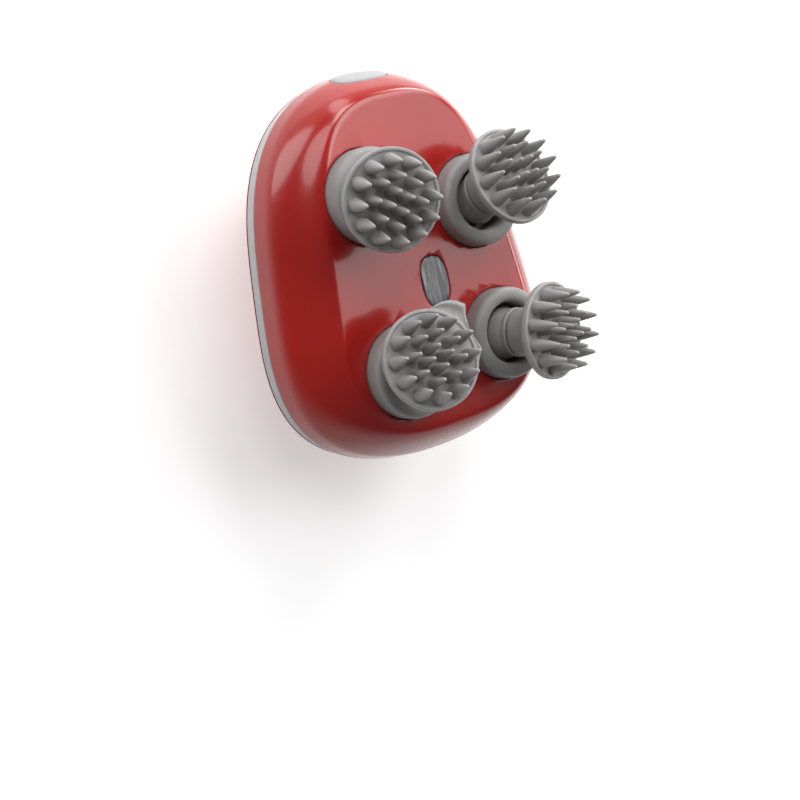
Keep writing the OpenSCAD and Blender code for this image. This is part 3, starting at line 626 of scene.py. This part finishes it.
def screw_post(shell, x, y):
    """Post inside the dome for a case screw, with the well below it that the screw goes in by."""
    wide = POST_R + POCKET_WALL
    top = SPLIT_Z - POST_DROP
    shoulder_z = SEAT_Z + 1.5
    spot = Matrix.Translation((x, y, 0))
    post = revolve("post", [(0, top), (POST_R, top), (POST_R, shoulder_z), (wide, shoulder_z), (wide, -1),
                            (0, -1)], spot, POST_SIDES)
    core = loft("core", [dome_ring(WALL / 2, 1 - k / 12) for k in range(13)] +
                [egg_ring(GROOVE_DEPTH + LIP + WALL, SPLIT_Z)], cap_first=True, cap_last=True)
    boolean(post, core, "INTERSECT")
    boolean(shell, post, "UNION")
    pocket = revolve("cutter", [(0, -3), (0, SEAT_Z), (POCKET_R, SEAT_Z), (POCKET_R, -3)], spot, POST_SIDES)
    boolean(shell, pocket, "DIFFERENCE")


def rear_cover():
    """Open dome with its screw posts and port. Returns the outside as it was before them."""
    flat = dome_ring(0, 1)
    outer = [flat * s for s in (0.1, 0.4, 0.7, 0.9)]
    outer += [dome_ring(0, 1 - k / 40) for k in range(40)]
    outer += [egg_ring(BACK_EDGE + d, GROOVE_LOW - down) for d, down in REAR_RIM]
    outer += [egg_ring(GROOVE_DEPTH, GROOVE_LOW), egg_ring(GROOVE_DEPTH, SPLIT_Z),
              egg_ring(GROOVE_DEPTH + LIP, SPLIT_Z)]
    inner = [egg_ring(GROOVE_DEPTH + LIP, GROOVE_LOW - LIP)] + [dome_ring(WALL, k / 9) for k in range(1, 10)]
    middle = np.array([0.0, 0.0, WALL])
    inner += [middle + (inner[-1] - middle) * 0.1]
    shell = closed_shell("rear_shell", list(reversed(outer)), inner)
    shell.data.flip_normals()
    surface = BVHTree.FromObject(shell, bpy.context.evaluated_depsgraph_get())
    for x, y in CASE_POSTS:
        screw_post(shell, x, y)
    half_w, half_h = (h + TRIM_GAP for h in PLUG_HALF)
    cutter = loft("cutter", [slot_ring(half_w, half_h, x) for x in (PLUG_X - 1, HALF_L + 3)],
                  cap_first=True, cap_last=True)
    boolean(shell, cutter, "DIFFERENCE")
    shade(shell, SHELL_ANGLE)
    finish_piece(shell, "housing", RED, ["rear_cover"])
    return surface


def grip_strip():
    """Soft band in the groove, slightly crowned and with rounded edges."""
    low, high = GROOVE_LOW + BAND_GAP, GROOVE_HIGH - BAND_GAP
    inner = GROOVE_DEPTH - 0.1
    low_inset, high_inset = BACK_EDGE + 0.22, FRONT_EDGE + 0.16
    profile = rounded([(low_inset, low, 0.45), ((low_inset + high_inset) / 2 - 0.06, (low + high) / 2, 9),
                       (high_inset, high, 0.45), (inner, high), (inner, low)], 6, closed=True)
    band = loft("grip_strip", [egg_ring(i, z) for i, z in profile], closed=True)
    finish_piece(band, "housing", STRIP_GREY, ["grip_band"])


def lens():
    """Slightly domed window, with the flange that holds it from behind."""
    half_x, half_y = LENS_HALF
    under = FACE_Z - WALL
    # Inset and height of the rings over the flange
    rows = ((0, FACE_Z - 0.2), (0.06, FACE_Z - 0.07), (0.2, FACE_Z), (0.5, FACE_Z + 0.03),
            (1.2, FACE_Z + 0.06), (2.4, FACE_Z + 0.085), (4.2, FACE_Z + 0.095))
    rings = [oval_ring(half_x + LENS_FLANGE, half_y + LENS_FLANGE, z, LENS_SPOT)
             for z in (under - 1, under - 0.1)]
    rings += [oval_ring(half_x, half_y, under - 0.1, LENS_SPOT)]
    rings += [oval_ring(half_x - d, half_y - d, z, LENS_SPOT) for d, z in rows]
    piece = loft("face_window", rings, cap_first=True, cap_last=True)
    finish_piece(piece, "housing", LENS, ["face_lens"])


def button(surface):
    """Pad that follows the shoulder, stands a little proud and has a soft edge, with its flange."""
    out = button_frame.to_3x3() @ Vector((0, 0, 1))
    # Share of the pad's size and height over the shoulder, ring by ring. The first one lies on the flange.
    shares = (1, 1, 1, 0.985, 0.96, 0.92, 0.85, 0.7, 0.5, 0.3, 0.12)
    lifts = (None, -1.2, -0.1, 0.18, 0.32, 0.42, 0.48) + (BUTTON_PROUD,) * 4
    rings = []
    flange_z = -BUTTON_DEPTH
    for share, lift in zip(shares, lifts):
        ring = []
        for x, y in oval_points(BUTTON_HALF[0] * share, BUTTON_HALF[1] * share):
            if lift is None:
                ring.append(tuple(button_frame @ Vector((x, y, flange_z))))
                continue
            start = button_frame @ Vector((x, y, 10))
            hit = surface.ray_cast(start * MM, -out)[0]
            ring.append(tuple(hit / MM + out * lift))
        rings.append(ring)
    half_x, half_y = (h + BUTTON_FLANGE for h in BUTTON_HALF)
    flange = [oval_ring(half_x, half_y, z, button_frame) for z in (flange_z - BUTTON_FLANGE, flange_z)]
    piece = loft("button_pad", flange + rings, cap_first=True, cap_last=True, smooth_angle=50)
    finish_piece(piece, "button", BUTTON_GREY, ["power_button"])


def port_cover(surface):
    """Soft plug that follows the dome and stands a little proud of it, with a tongue for the socket."""
    out = Vector((math.cos(DOME_LEAN), 0, -math.sin(DOME_LEAN)))
    rings = [slot_ring(*PLUG_HALF, PLUG_X)]
    for inset, lift in ((0, -0.3), (0.05, 0.04), (0.18, 0.16), (0.45, 0.25), (1, 0.29), (1.8, 0.3), (2.6, 0.3)):
        ring = []
        for x, y, z in slot_ring(PLUG_HALF[0] - inset, PLUG_HALF[1] - inset, HALF_L + 10):
            hit = surface.ray_cast(Vector((x, y, z)) * MM, Vector((-1, 0, 0)))[0]
            ring.append(tuple(hit / MM + out * lift))
        rings.append(ring)
    cover = loft("port_cover", rings, cap_first=True, cap_last=True, smooth_angle=50)
    finish_piece(cover, "plug", PLUG_GREY, ["port_plug"])
    rings = [[(x, u, PLUG_Z + v) for u, v in oval_points(*TONGUE_HALF, TONGUE_SHARP)]
             for x in (PLUG_X - TONGUE_L, PLUG_X + 0.5)]
    tongue = loft("port_cover_tongue", rings, cap_first=True, cap_last=True)
    finish_piece(tongue, "plug", PLUG_GREY)


# ---------------------------------------------------------------- soft boots and sleeves

BOOT_BORE = 8.9              # radius inside the boot's rounded collar
WEB_BORE = 7.3               # radius of the hole in the web under it
WEB_DROP = 1.4               # from the wobble centre to the web
WEB_T = 1.2
HUB_R = 5.95


def boots():
    """Soft round collars in the face holes, with a web round the foot of each neck."""
    top = FACE_Z + BOOT_H
    for head in HEADS:
        axis_x, axis_y, wobble_z = Vector(joints[f"head_{head}_roll"]["pos_m"]) / MM
        low, high = node_box(f"boot_{head}")
        outer = (high.x - low.x) / 2
        web_z = wobble_z - WEB_DROP
        profile = rounded([(outer - 2.5, low.z), (outer, low.z), (outer, top, 3.3), (BOOT_BORE + 0.1, top, 2.0),
                           (BOOT_BORE + 0.15, web_z + 0.3, 0.6), (WEB_BORE, web_z, 0.3),
                           (WEB_BORE, web_z - WEB_T), (BOOT_BORE, web_z - WEB_T)], 10, closed=True)
        boot = revolve(f"boot_skin_{head}", profile, Matrix.Translation((axis_x, axis_y, 0)), 128)
        finish_piece(boot, "housing", SILICONE, [f"boot_{head}"])


def sleeves():
    """Folded sleeves round the hubs, with a bead at the top that the neck sits on."""
    corners = [(HUB_R, 1), (7.7, 1, 0.3), (7.8, 1.8, 0.6), (7.4, 3.4, 1.5), (6.9, 5.1, 0.6), (6.95, 5.8, 0.3),
               (7.3, 6.1, 0.2), (7.3, 6.7, 0.25), (6.9, 7.05, 0.25), (HUB_R, 7.05)]
    for head in HEADS:
        sleeve = revolve(f"sleeve_skin_{head}", rounded(corners, 5, closed=True), head_frame(head), 96)
        finish_piece(sleeve, f"head_{head}", SILICONE, [f"sleeve_{head}"])


# ---------------------------------------------------------------- silicone heads

# Heights are along the head's axis, from its wobble centre
PIN_TURN = {"ul": 28, "ll": 7, "ur": 21.5, "lr": 25.5}
RIM = 19.6
FLOOR = RIM - 0.5
DISC_R = 14.15
NECK_R = 7.2
NECK_FOOT = 7.4
SEAT_R = 5.5                 # seat of the hub in the neck's underside
SEAT_H = 1.5
PIN_TOP = RIM + 8.2
# Count, ring radius, base radius, fillet, turn in steps
PIN_RINGS = ((12, 10.75, 1.95, 0.1, 0.0), (8, 6.7, 1.55, 0.3, 0.5), (4, 2.9, 1.5, 0.3, 0.5))
TIP_R = 0.55
PIN_SIDES = 28
DISC_SIDES = 120
# How pale a point is, from 0 to 1, kept in an attribute as painted light: a painted highlight on the lip, and the
# pins paler from this share of their height up to their tips, as if lit and shone through
LIP_PAINTED_HIGHLIGHT = 0.35
PAINTED_LIGHT_FROM = 0.35
TIP_PAINTED_LIGHT = 0.8


def pin_profile(base_r, fillet):
    """(radius, height) from the fillet on the floor to the tip."""
    out = [(base_r + fillet, FLOOR), (base_r + fillet * 0.45, FLOOR + fillet * 0.2),
           (base_r + fillet * 0.12, FLOOR + fillet * 0.7)]
    steps = 9
    start = FLOOR + 0.55
    for k in range(steps + 1):
        t = k / steps
        out.append((TIP_R + (base_r - TIP_R) * (1 - t ** 1.35), start + t * (PIN_TOP - TIP_R - start)))
    for degrees in (25, 50, 72):
        a = math.radians(degrees)
        out.append((TIP_R * math.cos(a), PIN_TOP - TIP_R + TIP_R * math.sin(a)))
    return out


def pin_places(turn):
    """Place, base radius and fillet of each pin."""
    for count, ring, base_r, fillet, offset in PIN_RINGS:
        for k in range(count):
            a = math.radians(turn + (k + offset) * 360 / count)
            yield Vector((ring * math.cos(a), ring * math.sin(a))), base_r, fillet


def cap_outline():
    """(radius, height) from the floor's edge over the lip, round the disc and down the neck to its foot."""
    return rounded([(DISC_R - 1.32, FLOOR), (DISC_R - 1.2, FLOOR, 0.15), (DISC_R - 0.85, RIM, 0.2),
                    (DISC_R - 0.2, RIM, 0.25), (DISC_R, RIM - 0.3, 0.25), (DISC_R, RIM - 1.7, 0.5),
                    (DISC_R - 0.5, RIM - 2.25, 0.5), (NECK_R, RIM - 2.5, 0.9), (NECK_R, NECK_FOOT, 1.1),
                    (SEAT_R, NECK_FOOT)], 6)


def floor_faces(points, loops, holes):
    """Flat faces between loops of point numbers: the disc's edge and the pins, whose discs are left out."""
    flat = [Vector(points[i][:2]) for loop in loops for i in loop]
    index = [i for loop in loops for i in loop]
    edges = []
    at = 0
    for loop in loops:
        edges += [(at + j, at + (j + 1) % len(loop)) for j in range(len(loop))]
        at += len(loop)
    _, _, triangles, originals, _, _ = delaunay_2d_cdt(flat, edges, [], 1, 1e-6)
    lookup = [o[0] if o else None for o in originals]
    faces = []
    for triangle in triangles:
        if any(lookup[v] is None for v in triangle):
            continue
        middle = sum((flat[lookup[v]] for v in triangle), Vector((0, 0))) / 3
        if any((middle - centre).length < radius * 0.995 for centre, radius in holes):
            continue
        faces.append(tuple(index[lookup[v]] for v in triangle))
    return faces


def circle(centre, radius, z, sides):
    return [(centre.x + radius * math.cos(2 * math.pi * j / sides),
             centre.y + radius * math.sin(2 * math.pi * j / sides), z) for j in range(sides)]


def store_painted_light(obj, values):
    """Keeps how pale each point is, which the silicone's material reads as painted light."""
    layer = obj.data.attributes.new("tip", "FLOAT", "POINT")
    layer.data.foreach_set("value", values)


def head_cap(head):
    """One closed skin: the rimmed disc on its neck, and the pins that grow out of its floor."""
    points = []
    faces = []
    tips = []

    def add(ring, tip):
        start = len(points)
        points.extend(ring)
        tips.extend([tip] * len(ring))
        return start

    zero = Vector((0, 0))
    # The lip's points get a painted highlight
    starts = [add(circle(zero, r, z, DISC_SIDES), LIP_PAINTED_HIGHLIGHT if z > FLOOR else 0) for r, z in cap_outline()]
    for a, b in zip(starts, starts[1:]):
        faces += strip(b, a, DISC_SIDES)
    # Closed underside: the seat of the hub
    seat = add(circle(zero, SEAT_R, NECK_FOOT + SEAT_H, DISC_SIDES), 0)
    faces += strip(seat, starts[-1], DISC_SIDES)
    faces.append(tuple(seat + j for j in reversed(range(DISC_SIDES))))
    # Pins, each with its fillet ring on the floor
    loops = [list(range(starts[0], starts[0] + DISC_SIDES))]
    holes = []
    for centre, base_r, fillet in pin_places(PIN_TURN[head]):
        rings = []
        for r, z in pin_profile(base_r, fillet):
            # Painted light: the pins get paler towards their tips
            height = (z - FLOOR) / (PIN_TOP - FLOOR)
            pale = max(0, (height - PAINTED_LIGHT_FROM) / (1 - PAINTED_LIGHT_FROM)) ** 1.5 * TIP_PAINTED_LIGHT
            rings.append(add(circle(centre, r, z, PIN_SIDES), pale))
        for a, b in zip(rings, rings[1:]):
            faces += strip(a, b, PIN_SIDES)
        top = add([(centre.x, centre.y, PIN_TOP)], TIP_PAINTED_LIGHT)
        last = rings[-1]
        faces += [(last + j, last + (j + 1) % PIN_SIDES, top) for j in range(PIN_SIDES)]
        loops.append(list(range(rings[0], rings[0] + PIN_SIDES)))
        holes.append((centre, base_r + fillet))
    faces += floor_faces(points, loops, holes)
    obj = new_object(f"head_pad_{head}", place(points, head_frame(head)), faces, 60)
    store_painted_light(obj, tips)
    finish_piece(obj, f"head_{head}", HEAD_SILICONE, [f"head_cap_{head}"])


# Local degrees and reach from the head's axis. It stays low where the next head comes close as they turn.
FLAP_OUTLINE = ((-150, 14.1), (-143, 14.9), (-137, 15.6), (-132, 15.3), (-126, 14.8), (-120, 14.6),
                (-114, 14.7), (-109, 15.2), (-104, 15.9), (-100, 16.9), (-97, 18.2), (-94.5, 19.4),
                (-91, 18.9), (-86, 18.6), (-79, 17.7), (-72, 16.4), (-66, 15.2), (-60, 14.1))


FLAP_ROOT = DISC_R - 0.6
FLAP_STEPS = 120
FLAP_ACROSS = 12


def head_flap(head):
    """Thin skirt of silicone that widens the rim of one head on one side, with an ear at its widest point."""
    angles, reaches = zip(*FLAP_OUTLINE)
    rings = []
    for i in range(FLAP_STEPS + 1):
        degrees = angles[0] + (angles[-1] - angles[0]) * i / FLAP_STEPS
        reach = np.mean([np.interp(degrees + d, angles, reaches) for d in (-1, 0, 1)])
        a = math.radians(degrees)
        width = reach - FLAP_ROOT
        top = []
        low = []
        for j in range(FLAP_ACROSS + 1):
            s = j / FLAP_ACROSS
            r = FLAP_ROOT + width * s
            # A hollow near the disc, a ridge near the edge and a slight ripple along it
            ridge = 0.22 * math.exp(-((s - 0.78) / 0.16) ** 2) - 0.28 * math.sin(math.pi * min(1, s / 0.7))
            z = RIM - 0.12 + ridge * min(1, width / 4) + 0.12 * math.sin(a * 23) * s * s
            thick = 0.7 * (1 - s ** 6) ** 0.5 + 0.06
            top.append((r * math.cos(a), r * math.sin(a), z - 0.25 * s ** 8))
            low.append((r * math.cos(a), r * math.sin(a), z - thick))
        rings.append(place(top + list(reversed(low)), head_frame(head)))
    obj = loft(f"head_flap_{head}", rings, cap_first=True, cap_last=True, smooth_angle=70)
    # Painted light: the flap's outer edge paler, as thin silicone that light shines through
    edge = [max(0, (j / FLAP_ACROSS - 0.8) / 0.2) for j in range(FLAP_ACROSS + 1)]
    store_painted_light(obj, (edge + list(reversed(edge))) * (FLAP_STEPS + 1))
    finish_piece(obj, f"head_{head}", HEAD_SILICONE)


button(front_cover())
port_cover(rear_cover())
grip_strip()
lens()
boots()
sleeves()
for head in HEADS:
    head_cap(head)
head_flap("ll")

# ---------------------------------------------------------------- stage, light and camera

FLOOR_HALF = 3000
FLOOR_GLOW = 0.42            # keeps the floor near white while its shadow stays
FAR_GLOW = 0.86              # far off, where the lamps don't reach
GLOW_RUN = (0.4, 1.8)        # metres from the object over which one becomes the other
HORIZON = (0.1, 0.92)        # height in the sky and how bright it is there
OVERHEAD = (0.5, 0.15)
SKY_LIGHT = 0.38             # strength at which the backdrop lights the object
LIGHT_TARGET = Vector((0, 0, 45))
# Name, place, size, watts and shape
LIGHTS = (
    ("face_reflection", (-20, 540, 820), (300, 620), 1.25, "RECTANGLE"),
    ("top_reflection", (-330, 540, 820), (320, 620), 2.7, "RECTANGLE"),
    ("key", (-500, -300, 700), (500, 500), 2, "ELLIPSE"),
    ("top_low", (-900, 100, 350), (300, 600), 1.4, "ELLIPSE"),
    ("top_high", (-700, 150, 700), (400, 400), 2.4, "ELLIPSE"),
    ("top_left", (-700, -600, 300), (650, 350), 1.8, "ELLIPSE"),
    ("right", (0, 900, 350), (500, 300), 1.6, "ELLIPSE"),
    ("top_right", (-600, 700, 350), (400, 300), 3.4, "ELLIPSE"),
)
# Fitted to the holes, discs and pin tips in the photograph
CAMERA_PLACE = (-24.32, -252.9, 394.16)
CAMERA_RIGHT = Vector((0.22288, 0.78753, 0.57456))
CAMERA_DOWN = Vector((0.96415, -0.26516, -0.01056))
CAMERA_FORWARD = Vector((0.14403, 0.55632, -0.81839))
CAMERA_LENS = 67.5


def seen_by_eye(tree):
    """1 on the rays that the camera sees, mirrored in the object or through it too, and 0 on the rest."""
    path = tree.nodes.new("ShaderNodeLightPath")
    total = path.outputs["Is Camera Ray"]
    for name in ("Is Glossy Ray", "Is Transmission Ray"):
        add = tree.nodes.new("ShaderNodeMath")
        add.operation = "ADD"
        add.use_clamp = True
        tree.links.new(total, add.inputs[0])
        tree.links.new(path.outputs[name], add.inputs[1])
        total = add.outputs["Value"]
    return total


def stage_floor():
    """Pale floor that catches the object's shadow, and glows only where it is seen."""
    corners = [(x * FLOOR_HALF, y * FLOOR_HALF, 0) for x, y in ((-1, -1), (1, -1), (1, 1), (-1, 1))]
    floor = new_object("floor", corners, [(0, 1, 2, 3)])
    s = Shader("pale_floor", (0.86, 0.86, 0.86), 0.8, Emission_Color=(1, 1, 1, 1))
    s.color(s.ramp(s.noise(3, 2), [(0.4, (0.85, 0.85, 0.85)), (0.6, (0.88, 0.88, 0.88))]))
    away = s.node("ShaderNodeVectorMath", operation="LENGTH")
    s.link(s.coords, away.inputs[0])
    level = s.node("ShaderNodeMapRange")
    for name, value in (("From Min", GLOW_RUN[0]), ("From Max", GLOW_RUN[1]),
                        ("To Min", FLOOR_GLOW), ("To Max", FAR_GLOW)):
        level.inputs[name].default_value = value
    s.link(away.outputs["Value"], level.inputs["Value"])
    glow = s.node("ShaderNodeMath", operation="MULTIPLY")
    s.link(seen_by_eye(s.tree), glow.inputs[0])
    s.link(level.outputs["Result"], glow.inputs[1])
    s.link(glow.outputs["Value"], s.bsdf.inputs["Emission Strength"])
    floor.data.materials.append(s.material)


def area_light(name, place_mm, size_mm, watts, shape):
    data = bpy.data.lights.new(name, "AREA")
    data.shape = shape
    data.size = size_mm[0] * MM
    data.size_y = size_mm[1] * MM
    data.energy = watts
    obj = bpy.data.objects.new(name, data)
    obj.location = Vector(place_mm) * MM
    aim = (LIGHT_TARGET - Vector(place_mm)).to_track_quat("-Z", "Y")
    obj.rotation_euler = aim.to_euler()
    bpy.context.scene.collection.objects.link(obj)


def world_light():
    """Backdrop that is pale at the horizon and darker overhead, and lights the object less than it shows."""
    world = bpy.data.worlds.new("studio")
    world.use_nodes = True
    tree = world.node_tree
    background = tree.nodes["Background"]
    coords = tree.nodes.new("ShaderNodeTexCoord")
    split = tree.nodes.new("ShaderNodeSeparateXYZ")
    ramp = tree.nodes.new("ShaderNodeValToRGB")
    for element, (height, value) in zip(ramp.color_ramp.elements, (HORIZON, OVERHEAD)):
        element.position = height
        element.color = (value, value, value, 1)
    tree.links.new(coords.outputs["Generated"], split.inputs["Vector"])
    tree.links.new(split.outputs["Z"], ramp.inputs["Fac"])
    tree.links.new(ramp.outputs["Color"], background.inputs["Color"])
    level = tree.nodes.new("ShaderNodeMix")
    level.inputs["A"].default_value = SKY_LIGHT
    level.inputs["B"].default_value = 1
    tree.links.new(seen_by_eye(tree), level.inputs["Factor"])
    tree.links.new(level.outputs["Result"], background.inputs["Strength"])
    bpy.context.scene.world = world


def camera():
    """Same viewing direction and framing as the photograph."""
    data = bpy.data.cameras.new("camera")
    data.sensor_width = 36
    data.sensor_height = 36
    data.sensor_fit = "HORIZONTAL"
    data.lens = CAMERA_LENS
    data.clip_start = 0.01
    data.clip_end = 20
    obj = bpy.data.objects.new("camera", data)
    turn = Matrix((CAMERA_RIGHT, -CAMERA_DOWN, -CAMERA_FORWARD)).transposed().to_4x4()
    obj.matrix_world = Matrix.Translation(Vector(CAMERA_PLACE) * MM) @ turn
    bpy.context.scene.collection.objects.link(obj)
    bpy.context.scene.camera = obj


stage_floor()
world_light()
for light in LIGHTS:
    area_light(*light)
camera()
bpy.context.scene.view_settings.view_transform = "Standard"
